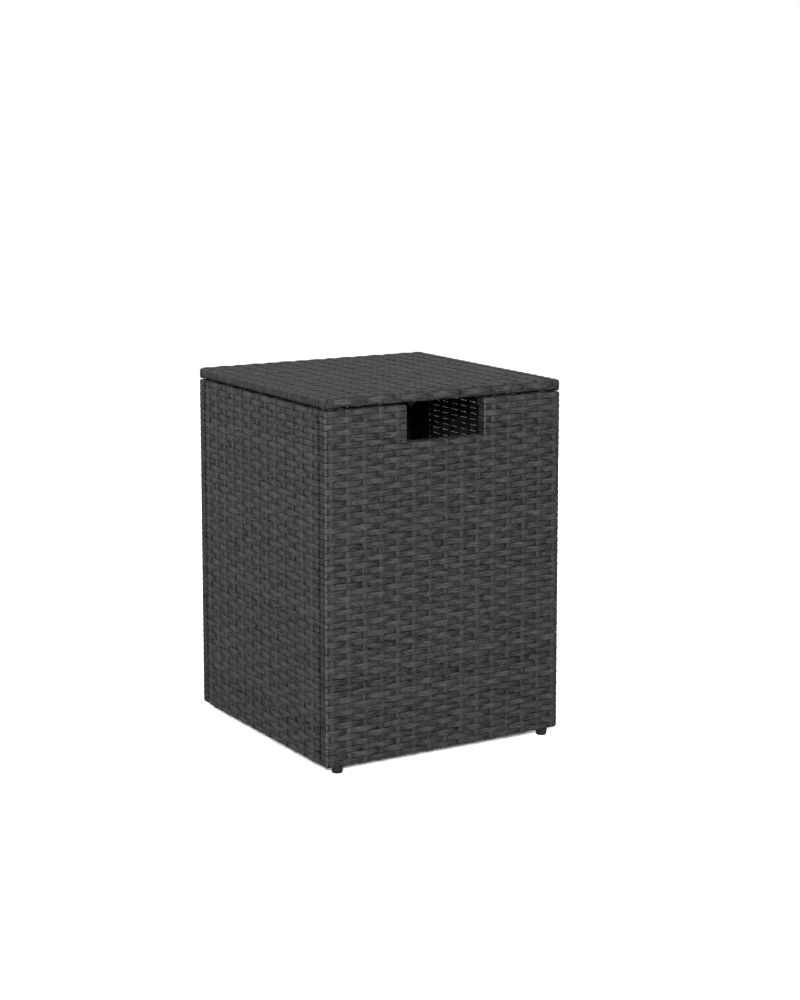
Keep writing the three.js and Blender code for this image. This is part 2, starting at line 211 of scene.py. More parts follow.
for name, (place, watts) in LAMPS.items():
    soft_box(name, place, watts)
print("lamps:", sorted(LAMPS))

# %% [markdown]
# ## Numbers in a node tree
#
# Blender's Math nodes do one small sum each, so a formula takes many of them. The class below lets a
# formula be written as plain arithmetic: each sign in it adds one Math node and links it up.

# %% Write sums as Math nodes


class Number:
    """A number that flows through a node tree. Arithmetic on it adds Math nodes."""

    def __init__(self, tree, socket):
        self.tree = tree
        self.socket = socket

    def math(self, operation, *others):
        node = self.tree.nodes.new("ShaderNodeMath")
        node.operation = operation
        for socket, term in zip(node.inputs, (self, *others)):
            if isinstance(term, Number):
                self.tree.links.new(term.socket, socket)
            else:
                socket.default_value = term
        return Number(self.tree, node.outputs[0])

    def __add__(self, other):
        return self.math("ADD", other)

    def __sub__(self, other):
        return self.math("SUBTRACT", other)

    def __mul__(self, other):
        return self.math("MULTIPLY", other)

    def __truediv__(self, other):
        return self.math("DIVIDE", other)

    def __neg__(self):
        return self.math("MULTIPLY", -1.0)

    def between(self, low, high):
        return self.math("MAXIMUM", low).math("MINIMUM", high)

    def size(self):
        return self.math("ABSOLUTE")

    def sign(self):
        return self.math("SIGN")

    def sine(self):
        return self.math("SINE")

    def cosine(self):
        return self.math("COSINE")


# %% [markdown]
# ## Sizes of the weave
#
# Flat level strands, the rows, run round the box, and upright strands, the stakes, stand about three row
# widths apart. Each row passes over one stake and behind the next, and the row above does the opposite, so
# the rows show as long lenses laid like bricks. The sizes below were counted on the real weave: 56 rows on
# a wall, 44 on the lid, and a stake every 28.5 mm. The side walls stand between the front and the back one
# and stop a little short of them. That narrow gap, SEAM_EASE, makes the dark seam that shows beside each
# corner, together with painted shade on the side walls' folded ends.

# %% Set the sizes of the weave
MM = 0.001
WALL_ROWS = 56
LID_ROWS = 44
STAKE_PITCH = 28.53 * MM
SIDE_STAKE_PITCH = 28.64 * MM
SIDE_STAKE_SHIFT = -5 * MM
ROW_WAVE = 1.5 * MM
STAKE_WAVE = 0.25 * MM
STAKE_FOLD_LEVEL = -0.7 * MM
STAKE_FOLD_WAVE = 0.45 * MM
STAKE_WIDTH = 9.6 * MM
STRAND_THICKNESS = 1.15 * MM
LAP = 18 * MM
NOTCH_WIDTH = 138 * MM
NOTCH_DEPTH = 57 * MM
SEAM_EASE = 1.2 * MM

wall_low, wall_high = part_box("front_weave")
side_low, side_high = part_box("left_weave")
lid_low, lid_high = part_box("lid_weave")
WALL_LENGTH = wall_high.x - wall_low.x
WALL_HEIGHT = wall_high.z - wall_low.z
WALL_THICKNESS = wall_high.y - wall_low.y
SIDE_LENGTH = side_high.y - side_low.y - 2 * SEAM_EASE
LID_LENGTH = lid_high.x - lid_low.x
LID_DEPTH = lid_high.y - lid_low.y
LID_THICKNESS = lid_high.z - lid_low.z
ROW_PITCH = WALL_HEIGHT / WALL_ROWS
LID_ROW_PITCH = LID_DEPTH / LID_ROWS
print("row pitch in mm:", round(ROW_PITCH / MM, 2), "and on the lid", round(LID_ROW_PITCH / MM, 2))

# %% [markdown]
# ## One tree for every strand
#
# All strands come from one Geometry Nodes tree. It lays parallel strands on a flat sheet first, where over
# and under is a cosine, drawn out so that a strand runs nearly straight between two crossings. Then it
# folds the sheet round the edges of the panel, as the real weave is pulled round the tubes of the frame. On
# the sheet a place has three numbers: along the strand, across the strands, and out from the sheet.
# Modelling one strand by hand and repeating it with an Array modifier would also work on the flat, but not
# round the edges, and each panel would need a strand of its own.
#
# Some inputs change the character of the weave. Wave is how far a strand moves out and in, and Level is how
# far out its middle lies. Both have a second value for the folds. Swell makes a strand wider where it is
# furthest from the sheet. Droop lets its two edges lie lower than its middle there, which closes the gap to
# the strand beside it. Fade lets a row's wave end as it turns round an edge. Two more inputs store a tone
# where a strand turns a corner, for the material to use: a painted highlight on the bend and painted shade
# past it. The strand is pinched a little narrower there too, by BEND_PINCH, so that each row shows on the
# corner as a bead with a dark notch on either side.

# %% Fold a flat place round the edges


def folded(distance, flat_half, radius, face):
    """Folds a distance from the middle of a sheet round both edges of a panel.

    The sheet is flat up to flat_half, turns a quarter round an edge of this radius, crosses the panel's edge
    face, turns another quarter and goes on along the back. Gives the place across the panel, the depth behind
    its front, the angle that the sheet has turned through, and its lean, which is how much of the way out
    from the sheet now points sideways.
    """
    reach = distance.size()
    quarter = radius * (math.pi / 2)
    first_turn = ((reach - flat_half) / radius).between(0.0, math.pi / 2)
    face_start = flat_half + quarter
    face_done = (reach - face_start).math("MAXIMUM", 0.0).math("MINIMUM", face)
    second_start = face_start + face
    second_turn = ((reach - second_start) / radius).between(0.0, math.pi / 2)
    lap = (reach - second_start - quarter).math("MAXIMUM", 0.0)
    angle = first_turn + second_turn
    place = reach.math("MINIMUM", flat_half) + radius * angle.sine() - lap
    depth = radius * (-angle.cosine() + 1.0) + face_done
    return distance.sign() * place, depth, angle, distance.sign() * angle.sine()


# %% Build the tree of strands
TREE_INPUTS = {
    "Strands": 1,
    "First Strand": 0.0,
    "Pitch": 9.6 * MM,
    "Width": 9.3 * MM,
    "Thickness": 1.1 * MM,
    "Swell": 0.0,
    "Run Middle": 0.0,
    "Run Half": 200 * MM,
    "Run Fold": 0.0,
    "Flat Steps": 10,
    "Fold Steps": 0,
    "Along Half": 200 * MM,
    "Across Middle": 0.0,
    "Across Half": 200 * MM,
    "Edge Radius": 4 * MM,
    "Face": 11 * MM,
    "Corner": 3 * MM,
    "Crossing Pitch": 28.5 * MM,
    "First Crossing": 0.0,
    "Phase": 0.0,
    "Wave": 0.8 * MM,
    "Droop": 0.55,
    "Level": -0.45 * MM,
    "Fold Wave": 0.5 * MM,
    "Fold Level": -0.9 * MM,
    "Fade End": 1.0,
    "Fade Length": 10 * MM,
    "Unevenness": 1.0,
    # Painted highlight on a strand's bend round a corner and painted shade past it, stored for the material
    "Painted Edge Highlight": 0.0,
    "Painted Edge Shade": 0.0,
    "Seed": 0,
}
SECTION_POINTS = 10
SECTION_SIDE_POWER = 0.35
SECTION_RISE_POWER = 0.6
CROWN_SHARE = 0.72
BACK_SHARE = 0.28
ARCH_SHARE = 0.94
BEND_PINCH = 0.13
DRIFT_ALONG = 30.0
DRIFT_STEP = 3.7
DRIFT_SEED_STEP = 9.1
PLACE_SEED_STEP = 1.7
SIDEWAYS_DRIFT = 0.2 * MM
OUTWARD_DRIFT = 0.6 * MM
ROLL_DRIFT = 0.6 * MM
PAST_BEND_ANGLE = 1.05
PAST_BEND_SPAN = 0.7
TINY = 1e-6


def strands_tree():
    """Parallel woven strands, folded round a panel's edges."""
    tree = bpy.data.node_groups.new("woven_strands", "GeometryNodeTree")
    interface = tree.interface
    interface.new_socket("Geometry", in_out="OUTPUT", socket_type="NodeSocketGeometry")
    for name, default in TREE_INPUTS.items():
        kind = "NodeSocketInt" if isinstance(default, int) else "NodeSocketFloat"
        interface.new_socket(name, in_out="INPUT", socket_type=kind).default_value = default
    interface.new_socket("Material", in_out="INPUT", socket_type="NodeSocketMaterial")
    given = put(tree, "NodeGroupInput").outputs
    value = {name: Number(tree, given[name]) for name in TREE_INPUTS}

    # A straight line for each strand, with more points where it will be folded
    points = value["Flat Steps"] + value["Fold Steps"] * 2.0 + 1.0
    line = put(tree, "GeometryNodeCurvePrimitiveLine", {"End": (1.0, 0.0, 0.0)})
    cut_line = put(tree, "GeometryNodeResampleCurve", {"Curve": line.outputs[0], "Count": points.socket})
    copies = put(
        tree,
        "GeometryNodeDuplicateElements",
        {"Geometry": cut_line.outputs[0], "Amount": given["Strands"]},
        domain="SPLINE",
    )
    counted = put(
        tree,
        "GeometryNodeStoreNamedAttribute",
        {"Geometry": copies.outputs[0], "Name": "weave_strand", "Value": copies.outputs[1]},
        data_type="FLOAT",
        domain="CURVE",
    )
    step = Number(tree, put(tree, "GeometryNodeSplineParameter").outputs["Index"])
    fold_step = value["Run Fold"] / value["Fold Steps"].math("MAXIMUM", 1.0)
    flat_step = value["Run Half"] * 2.0 / value["Flat Steps"]
    after_fold = (step - value["Fold Steps"]).math("MAXIMUM", 0.0)
    flat_done = after_fold.math("MINIMUM", value["Flat Steps"])
    fold_done = step - flat_done
    along = flat_done * flat_step + fold_done * fold_step - value["Run Half"] - value["Run Fold"]
    stepped = put(
        tree,
        "GeometryNodeStoreNamedAttribute",
        {"Geometry": counted.outputs[0], "Name": "weave_along", "Value": along.socket},
        data_type="FLOAT",
        domain="POINT",
    )
    circle = put(tree, "GeometryNodeCurvePrimitiveCircle", {"Resolution": SECTION_POINTS, "Radius": 1.0})
    section = put(
        tree,
        "GeometryNodeStoreNamedAttribute",
        {
            "Geometry": circle.outputs[0],
            "Name": "weave_section",
            "Value": put(tree, "GeometryNodeInputPosition").outputs[0],
        },
        data_type="FLOAT_VECTOR",
        domain="POINT",
    )
    tubes = put(
        tree,
        "GeometryNodeCurveToMesh",
        {"Curve": stepped.outputs[0], "Profile Curve": section.outputs[0], "Fill Caps": True},
    )

    def stored(name, kind):
        node = put(tree, "GeometryNodeInputNamedAttribute", {"Name": name}, data_type=kind)
        return node.outputs[0]

    along = Number(tree, stored("weave_along", "FLOAT"))
    strand = Number(tree, stored("weave_strand", "FLOAT"))
    parts = put(tree, "ShaderNodeSeparateXYZ", {0: stored("weave_section", "FLOAT_VECTOR")})
    side = Number(tree, parts.outputs[0])
    rise = Number(tree, parts.outputs[1])
    # Square the circle off into a flat strand with soft edges
    side = side.sign() * side.size().math("POWER", SECTION_SIDE_POWER)
    rise = rise.sign() * rise.size().math("POWER", SECTION_RISE_POWER)

    # Over and under
    run = along + value["Run Middle"]
    crossing = (run - value["First Crossing"]) / value["Crossing Pitch"]
    turn = (crossing + strand + value["Phase"]) * math.pi
    fade = ((value["Fade End"] - along.size()) / value["Fade Length"]).between(0.0, 1.0)
    wave = (turn.cosine() * ARCH_SHARE).math("ARCSINE") / math.asin(ARCH_SHARE) * fade

    # Slow unevenness along each strand
    spot = put(
        tree,
        "ShaderNodeCombineXYZ",
        {
            0: (run * DRIFT_ALONG).socket,
            1: (strand * DRIFT_STEP).socket,
            2: (value["Seed"] * DRIFT_SEED_STEP).socket,
        },
    )
    noise = put(tree, "ShaderNodeTexNoise", {"Vector": spot.outputs[0], "Scale": 1.0, "Detail": 1.0})
    drift = put(tree, "ShaderNodeSeparateXYZ", {0: noise.outputs["Color"]})
    sideways, outwards, roll = (
        (Number(tree, drift.outputs[i]) - 0.5) * value["Unevenness"] for i in range(3)
    )

    # Across and out from the flat sheet, pinched a little where the strand turns a corner
    along_place, along_depth, along_angle, along_lean = folded(
        along, value["Along Half"], value["Edge Radius"], value["Face"]
    )
    bend = (along_angle.math("MINIMUM", math.pi / 2) * 2.0).sine()
    pinch = -(bend * BEND_PINCH) + 1.0
    half_width = value["Width"] * 0.5 * (wave.size() * value["Swell"] + 1.0) * pinch
    centre = value["First Strand"] + strand * value["Pitch"] + sideways * SIDEWAYS_DRIFT
    across = centre + side * half_width
    upper = rise.math("MAXIMUM", 0.0) * CROWN_SHARE
    lower = rise.math("MINIMUM", 0.0) * BACK_SHARE
    body = (upper + lower) * value["Thickness"]
    across_place, across_depth, across_angle, across_lean = folded(
        across - value["Across Middle"], value["Across Half"], value["Edge Radius"], value["Face"]
    )
    turned = ((along_angle + across_angle) / (math.pi / 2)).between(0.0, 1.0)
    rise_here = wave * value["Wave"]
    droop = side * side * -value["Droop"] + 1.0
    drifted = outwards * OUTWARD_DRIFT + side * roll * ROLL_DRIFT
    flat_out = value["Level"] + rise_here * droop + drifted
    fold_out = value["Fold Level"] + wave * value["Fold Wave"]
    out = flat_out + (fold_out - flat_out) * turned + body

    x = along_place + out * along_lean
    y = across_place + out * across_lean
    z = out * along_angle.cosine() * across_angle.cosine() - along_depth - across_depth

    # Round the corners of the panel's outline
    corner_x = (x.size() - value["Along Half"] - value["Edge Radius"] + value["Corner"]).math("MAXIMUM", 0.0)
    corner_y = (y.size() - value["Across Half"] - value["Edge Radius"] + value["Corner"]).math("MAXIMUM", 0.0)
    reach = (corner_x * corner_x + corner_y * corner_y).math("SQRT")
    pull = corner_x.math("MAXIMUM", corner_y) / reach.math("MAXIMUM", TINY)
    x = x - x.sign() * corner_x * (-pull + 1.0)
    y = y - y.sign() * corner_y * (-pull + 1.0)
    x = x + value["Run Middle"]
    y = y + value["Across Middle"]

    place = put(tree, "ShaderNodeCombineXYZ", {0: x.socket, 1: y.socket, 2: z.socket})
    bent = put(tree, "GeometryNodeSetPosition", {"Geometry": tubes.outputs[0], "Position": place.outputs[0]})
    strand_number = strand + value["Seed"] * PLACE_SEED_STEP
    on_strand = put(
        tree,
        "ShaderNodeCombineXYZ",
        {0: run.socket, 1: (side * half_width).socket, 2: strand_number.socket},
    )
    placed = put(
        tree,
        "GeometryNodeStoreNamedAttribute",
        {"Geometry": bent.outputs[0], "Name": "strand_place", "Value": on_strand.outputs[0]},
        data_type="FLOAT_VECTOR",
        domain="POINT",
    )
    marked = put(
        tree,
        "GeometryNodeStoreNamedAttribute",
        {"Geometry": placed.outputs[0], "Name": "strand_rise", "Value": rise_here.socket},
        data_type="FLOAT",
        domain="POINT",
    )

    # A tone for the material: a painted highlight on the bend, painted shade past it
    past = ((along_angle - PAST_BEND_ANGLE) / PAST_BEND_SPAN).between(0.0, 1.0)
    tone = bend * value["Painted Edge Highlight"] - past * value["Painted Edge Shade"]
    toned = put(
        tree,
        "GeometryNodeStoreNamedAttribute",
        {"Geometry": marked.outputs[0], "Name": "strand_tone", "Value": tone.socket},
        data_type="FLOAT",
        domain="POINT",
    )
    cleaned = put(
        tree,
        "GeometryNodeRemoveAttribute",
        {"Geometry": toned.outputs[0], "Name": "weave_*"},
        pattern_mode="WILDCARD",
    )
    smooth = put(tree, "GeometryNodeSetShadeSmooth", {"Geometry": cleaned.outputs[0]})
    real = put(tree, "GeometryNodeRealizeInstances", {"Geometry": smooth.outputs[0]})
    finished = put(
        tree, "GeometryNodeSetMaterial", {"Geometry": real.outputs[0], "Material": given["Material"]}
    )
    put(tree, "NodeGroupOutput", {"Geometry": finished.outputs[0]})
    return tree


weave = strands_tree()
print("the tree of strands has", len(weave.nodes), "nodes")

# %% [markdown]
# ## From a tree to a piece
#
# A modifier's inputs are set by their identifiers, because two inputs can share a name. Once the modifier
# has been worked out, its result is copied into a plain mesh, so nothing in the finished piece is still
# live. A piece such as a wall's rows has several sets of strands, below and beside the notch, which are
# joined into one mesh.

# %% Run the tree and join the results


def identifiers(tree):
    """The identifier of each input of a tree, by its name."""
    items = tree.interface.items_tree
    return {item.name: item.identifier for item in items if item.in_out == "INPUT"}


def worked_out(tree, start, inputs):
    """The plain mesh that a tree makes from a starting mesh and its inputs, given by name."""
    holder = bpy.data.objects.new("holder", start)
    scene.collection.objects.link(holder)
    modifier = holder.modifiers.new("tree", "NODES")
    modifier.node_group = tree
    names = identifiers(tree)
    for name, value in inputs.items():
        modifier[names[name]] = value
    holder.update_tag()
    seen_from = bpy.context.evaluated_depsgraph_get()
    mesh = bpy.data.meshes.new_from_object(holder.evaluated_get(seen_from), depsgraph=seen_from)
    bpy.data.objects.remove(holder)
    return mesh


def fitted(piece, body, nodes):
    """Lets a finished piece ride on a body and hides the CAD nodes that it stands in for."""
    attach(piece, body)
    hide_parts(*nodes)
    piece.data.calc_loop_triangles()
    print(piece.name, len(piece.data.loop_triangles), "triangles")


def woven_piece(name, meshes, place, body, node):
    """Joins sets of strands into one piece, puts it in place and hides the CAD node that it stands in for."""
    objects = []
    for mesh in meshes:
        part = bpy.data.objects.new(name, mesh)
        scene.collection.objects.link(part)
        objects.append(part)
    piece = objects[0]
    with bpy.context.temp_override(active_object=piece, selected_editable_objects=objects):
        bpy.ops.object.join()
    piece.name = name
    piece.data.name = name
    piece.data.transform(place)
    piece.data.update()
    fitted(piece, body, [node])


# %% [markdown]
# ## The strands' finish
#
# Outdoor wicker is extruded polyethylene: matt charcoal with a soft shine, and fine grooves drawn along
# each strand by the die. The pattern reads the place on the strand that the tree stored, so the grooves
# follow each strand round every edge. An image texture would need every strand unwrapped, and would repeat.
# The colour also carries painted light and shade: painted shade darkens the strand where the weave dips and
# along its own edges, where the gaps between strands lie, and its crowns come out lighter. The stored tone
# marks the corners with a painted highlight where a strand is bent hard and painted shade past the bend.

# %% Make the strand material
# How fast each noise changes along a strand, across it and from strand to strand
STREAKS = (100.0, 480.0, 17.3)
CLOUDS = (30.0, 60.0, 5.1)
BATCHES = (0.0, 0.0, 0.37)
STRAND_COLOUR = from_srgb(60, 60, 61)
MEAN_SHADE = 1.10
DARKEST_SHADE = 0.05
STREAK_SHADE = 3.2
CLOUD_SHADE = 0.9
BATCH_SHADE = 1.0
# Painted light and shade from the weave's relief, per millimetre of height: crowns lighter, dips darker
RELIEF_PAINTED_SHADE = 0.18 / MM
DEEPEST_DIP = -1.0 * MM
# Painted shade along each strand's edges, where the gaps between strands lie, per millimetre of width
EDGE_START = 3.4 * MM
EDGE_PAINTED_SHADE = -0.48 / MM
STRAND_ROUGHNESS = 0.6
STREAK_ROUGHNESS = 0.3
STRAND_SPECULAR = 0.15
GROOVE_PITCH = 2.4 * MM
GROOVE_DEPTH = 0.05 * MM
STREAK_DEPTH = 0.2 * MM
RISE_BUMP = 2.2


def strand_material(name, colour):
    material, tree, shader, _ = material_tree(name)
    place = put(tree, "ShaderNodeAttribute", attribute_name="strand_place")
    parts = put(tree, "ShaderNodeSeparateXYZ", {0: place.outputs["Vector"]})
    on_strand = [Number(tree, socket) for socket in parts.outputs]
    across = on_strand[1]

    def noise(scales, detail):
        scaled = [(part * scale).socket for part, scale in zip(on_strand, scales)]
        spot = put(tree, "ShaderNodeCombineXYZ", dict(enumerate(scaled)))
        fields = {"Vector": spot.outputs[0], "Scale": 1.0, "Detail": detail}
        return Number(tree, put(tree, "ShaderNodeTexNoise", fields).outputs[0])

    streak = noise(STREAKS, 1.0)
    cloud = noise(CLOUDS, 1.0)
    batch = noise(BATCHES, 0.0)
    rise = Number(tree, put(tree, "ShaderNodeAttribute", attribute_name="strand_rise").outputs["Fac"])
    # Painted light and shade: the strand lighter on the crowns of the weave and darker in its dips
    relief_painted_shade = rise.math("MAXIMUM", DEEPEST_DIP) * RELIEF_PAINTED_SHADE
    # Painted shade: each strand darker along its edges, where the gaps between strands lie
    edge = (across.size() - EDGE_START).math("MAXIMUM", 0.0) * EDGE_PAINTED_SHADE
    # The stored tone: a painted highlight where a strand bends round a corner, painted shade past the bend
    tone = Number(tree, put(tree, "ShaderNodeAttribute", attribute_name="strand_tone").outputs["Fac"])
    drawn = (streak - 0.5) * STREAK_SHADE + (cloud - 0.5) * CLOUD_SHADE + (batch - 0.5) * BATCH_SHADE
    shade = (drawn + relief_painted_shade + edge + tone + MEAN_SHADE).math("MAXIMUM", DARKEST_SHADE)
    tint = put(tree, "ShaderNodeVectorMath", {0: colour[:3], "Scale": shade.socket}, operation="SCALE")
    tree.links.new(tint.outputs[0], shader.inputs["Base Color"])
    roughness = (streak - 0.5) * STREAK_ROUGHNESS + STRAND_ROUGHNESS
    tree.links.new(roughness.socket, shader.inputs["Roughness"])
    shader.inputs["Specular IOR Level"].default_value = STRAND_SPECULAR
    groove = (across * (2 * math.pi / GROOVE_PITCH)).cosine() * GROOVE_DEPTH
    height = groove + streak * STREAK_DEPTH + rise * RISE_BUMP
    bump = put(tree, "ShaderNodeBump", {"Height": height.socket, "Distance": 1.0, "Strength": 1.0})
    tree.links.new(bump.outputs[0], shader.inputs["Normal"])
    return material


charcoal = strand_material("charcoal_strand", STRAND_COLOUR)
print("strand material has", len(charcoal.node_tree.nodes), "nodes")

# %% [markdown]
# ## Rows and stakes
#
# Two functions describe every set of strands on a panel. Rows run along it and turn round its ends. Stakes
# run up it and turn over its top and under its bottom. A row is over a stake where their numbers add up to
# an even number, and both functions count from the same place, so the two always agree.

# %% Describe rows and stakes
ROW_STEPS = 8
STAKE_STEPS = 4
FOLD_STEPS = 18
EDGE_ROWS = 3
EDGE_FOLD_STEPS = 2
CORNER_REACH_SHARE = 0.6
STAKE_SEED_STEP = 60


def panel_sizes(thickness, radius, look, seed):
    """What every set of strands on one panel has in common. look holds the inputs that differ by panel."""
    face = thickness - 2 * radius
    return {
        **look,
        "Edge Radius": radius,
        "Face": face,
        "Run Fold": math.pi * radius + face + LAP - radius,
        "Thickness": STRAND_THICKNESS,
        "Fold Steps": FOLD_STEPS,
        "Seed": seed,
        "Material": charcoal,
    }


def rows(panel, length, height, pitch, count, first, middle, weft, **more):
    """Rows, counted from first up, on a run of this length round middle.

    weft holds the pitch of the stakes, their shift from the middle, and 1 where over and under change places.
    """
    stake_pitch, stake_shift, parity = weft
    radius = panel["Edge Radius"]
    half = length / 2 - radius
    sizes = {
        **panel,
        "Strands": count,
        "First Strand": (first + 0.5) * pitch,
        "Pitch": pitch,
        "Width": pitch * panel["Width"],
        "Run Middle": middle,
        "Run Half": half,
        "Flat Steps": max(ROW_STEPS, round(2 * half / stake_pitch * ROW_STEPS)),
        "Along Half": half,
        "Across Middle": height / 2,
        "Across Half": height / 2 - radius,
        "Crossing Pitch": stake_pitch,
        "First Crossing": stake_shift,
        "Phase": float(first + parity),
        "Wave": ROW_WAVE,
        "Fade End": half + radius * math.pi / 2,
        "Seed": panel["Seed"] + first,
        **more,
    }
    return worked_out(weave, bpy.data.meshes.new("rows"), sizes)


def edge_rows(panel, length, height, pitch, firsts, middle, weft):
    """Rows on the folds above or below. Their ends only start to turn round the corner."""
    short = {"Run Fold": CORNER_REACH_SHARE * panel["Edge Radius"], "Fold Steps": EDGE_FOLD_STEPS}
    return [rows(panel, length, height, pitch, EDGE_ROWS, first, middle, weft, **short) for first in firsts]


def stakes(panel, length, numbers, low, high, row_pitch, weft):
    """Stakes with these numbers, from one level to another. They are drawn along x and then turned up."""
    stake_pitch, shift, parity = weft
    radius = panel["Edge Radius"]
    half = (high - low) / 2 - radius
    sizes = {
        **panel,
        "Strands": len(numbers),
        "First Strand": -(numbers[-1] * stake_pitch + shift),
        "Pitch": stake_pitch,
        "Width": STAKE_WIDTH,
        "Swell": 0.0,
        "Run Middle": (high + low) / 2,
        "Run Half": half,
        "Flat Steps": round(2 * half / row_pitch * STAKE_STEPS),
        "Along Half": half,
        "Across Middle": 0.0,
        "Across Half": length / 2 - radius,
        "Crossing Pitch": row_pitch,
        "First Crossing": row_pitch / 2,
        "Phase": float(numbers[-1] + parity + 1),
        "Wave": STAKE_WAVE,
        "Fold Level": STAKE_FOLD_LEVEL,
        "Fold Wave": STAKE_FOLD_WAVE,
        "Seed": panel["Seed"] + STAKE_SEED_STEP + numbers[0],
    }
    mesh = worked_out(weave, bpy.data.meshes.new("stakes"), sizes)
    mesh.transform(Matrix.Rotation(math.pi / 2, 4, "Z"))
    return mesh


def standing(turn, half):
    """From a flat drawing, x along the wall, y up it and z out of it, to a wall that faces this way."""
    upright = Matrix.Rotation(math.pi / 2, 4, "X")
    outwards = Matrix.Translation((0, -half, wall_low.z))
    return Matrix.Rotation(turn, 4, "Z") @ outwards @ upright


# %% [markdown]
# ## The four walls
#
# The front and back walls run the full width and have a finger notch in the middle of their top edge. Their
# rows and stakes stop at the notch and fold round its edges as well, so the strands below the notch and on
# each side of it are sets of their own. The side walls are plain.
#
# Handwork differs from wall to wall, so each wall gets a look, a few of the tree's inputs. Three walls are
# woven tight, with strands a little wider than their pitch. The right one is loose: its strands are a
# little narrower than their pitch and droop until their edges lie level, so each row leaves a thin slit of
# light, which shows through the notch. The end walls' corners get a painted highlight where their strands
# bend right round the post. The side walls' ones sit back in the seam and get painted shade.

# %% Weave the walls
WALL_EDGE = 2.5 * MM
TIGHT = {"Width": 1.010, "Swell": 0.07}
LOOSE = {"Width": 0.990, "Swell": 0.0, "Droop": 1.0, "Unevenness": 0.05}
# Painted light on the corners: the end walls' get a painted highlight on the bend and a little painted shade
# past it, the side walls' get painted shade on and past the bend
PAINTED_PALE_EDGES = {"Painted Edge Highlight": 1.5, "Painted Edge Shade": 0.5}
PAINTED_DARK_EDGES = {"Painted Edge Highlight": -0.5, "Painted Edge Shade": 1.1}


def end_wall(name, turn, look, seed):
    """The front or back wall, with its notch."""
    panel = panel_sizes(WALL_THICKNESS, WALL_EDGE, look, seed)
    weft = (STAKE_PITCH, 0.0, 0)
    beside = (WALL_LENGTH - NOTCH_WIDTH) / 2
    middle = (WALL_LENGTH + NOTCH_WIDTH) / 4
    sill = WALL_HEIGHT - NOTCH_DEPTH
    below = round(sill / ROW_PITCH)
    short = beside - 2 * WALL_EDGE
    level = [rows(panel, WALL_LENGTH, WALL_HEIGHT, ROW_PITCH, below, 0, 0.0, weft)]
    level += edge_rows(panel, WALL_LENGTH, WALL_HEIGHT, ROW_PITCH, [-EDGE_ROWS], 0.0, weft)
    level += edge_rows(panel, NOTCH_WIDTH, sill, ROW_PITCH, [below], 0.0, weft)
    for centre in (-middle, middle):
        count = WALL_ROWS - below
        level.append(rows(panel, beside, WALL_HEIGHT, ROW_PITCH, count, below, centre, weft))
        level += edge_rows(panel, beside, WALL_HEIGHT, ROW_PITCH, [WALL_ROWS], centre, weft)
    place = standing(turn, WALL_LENGTH / 2)
    woven_piece(f"{name}_wall_rows", level, place, "base", f"{name}_weave")
    outer = int((WALL_LENGTH / 2 - STAKE_WIDTH / 2) / STAKE_PITCH)
    inner = int(NOTCH_WIDTH / 2 / STAKE_PITCH)
    groups = [
        (range(-inner, inner + 1), sill),
        (range(-outer, -inner), WALL_HEIGHT),
        (range(inner + 1, outer + 1), WALL_HEIGHT),
    ]
    upright = [stakes(panel, WALL_LENGTH, numbers, 0.0, top, ROW_PITCH, weft) for numbers, top in groups]
    woven_piece(f"{name}_wall_stakes", upright, place, "base", f"{name}_weave")


def side_wall(name, turn, look, seed):
    """The left or right wall, which is plain."""
    panel = panel_sizes(WALL_THICKNESS, WALL_EDGE, look, seed)
    weft = (SIDE_STAKE_PITCH, SIDE_STAKE_SHIFT, 0)
    level = [rows(panel, SIDE_LENGTH, WALL_HEIGHT, ROW_PITCH, WALL_ROWS, 0, 0.0, weft)]
    level += edge_rows(panel, SIDE_LENGTH, WALL_HEIGHT, ROW_PITCH, [-EDGE_ROWS, WALL_ROWS], 0.0, weft)
    place = standing(turn, WALL_LENGTH / 2)
    woven_piece(f"{name}_wall_rows", level, place, "base", f"{name}_weave")
    outer = int((SIDE_LENGTH / 2 - STAKE_WIDTH) / SIDE_STAKE_PITCH)
    upright = [stakes(panel, SIDE_LENGTH, range(-outer, outer + 1), 0.0, WALL_HEIGHT, ROW_PITCH, weft)]
    woven_piece(f"{name}_wall_stakes", upright, place, "base", f"{name}_weave")


end_wall("front", 0.0, {**TIGHT, **PAINTED_PALE_EDGES}, 100)
end_wall("back", math.pi, {**TIGHT, **PAINTED_PALE_EDGES}, 200)
side_wall("left", -math.pi / 2, {**TIGHT, **PAINTED_DARK_EDGES}, 300)
side_wall("right", math.pi / 2, {**LOOSE, **PAINTED_DARK_EDGES}, 400)

# %% [markdown]
# ## The lid
#
# The lid is one more woven panel, laid flat. Its edges are rounder than the walls', so that the rows roll
# over the front edge and wrap round the sides as one soft rim. Its strands are the widest, and droop more
# than those of a tight wall, since a table top has to be nearly flat and closed. It rides on its own body,
# because it lifts off.

# %% Weave the lid
LID_EDGE = 4 * MM

# The lid's rows get a painted highlight where they bend round its sides and painted shade past the bend
lid_look = {"Width": 1.03, "Swell": 0.07, "Droop": 0.85, "Painted Edge Highlight": 0.5, "Painted Edge Shade": 0.5}
lid_panel = panel_sizes(LID_THICKNESS, LID_EDGE, lid_look, 500)
lid_weft = (STAKE_PITCH, 0.0, 1)
lid_place = Matrix.Translation((0, lid_low.y, lid_high.z))
lid_level = [rows(lid_panel, LID_LENGTH, LID_DEPTH, LID_ROW_PITCH, LID_ROWS, 0, 0.0, lid_weft)]
lid_level += edge_rows(lid_panel, LID_LENGTH, LID_DEPTH, LID_ROW_PITCH, [-EDGE_ROWS, LID_ROWS], 0.0, lid_weft)
woven_piece("lid_rows", lid_level, lid_place, "lid", "lid_weave")
lid_outer = int((LID_LENGTH / 2 - STAKE_WIDTH / 2) / STAKE_PITCH)
lid_numbers = range(-lid_outer, lid_outer + 1)
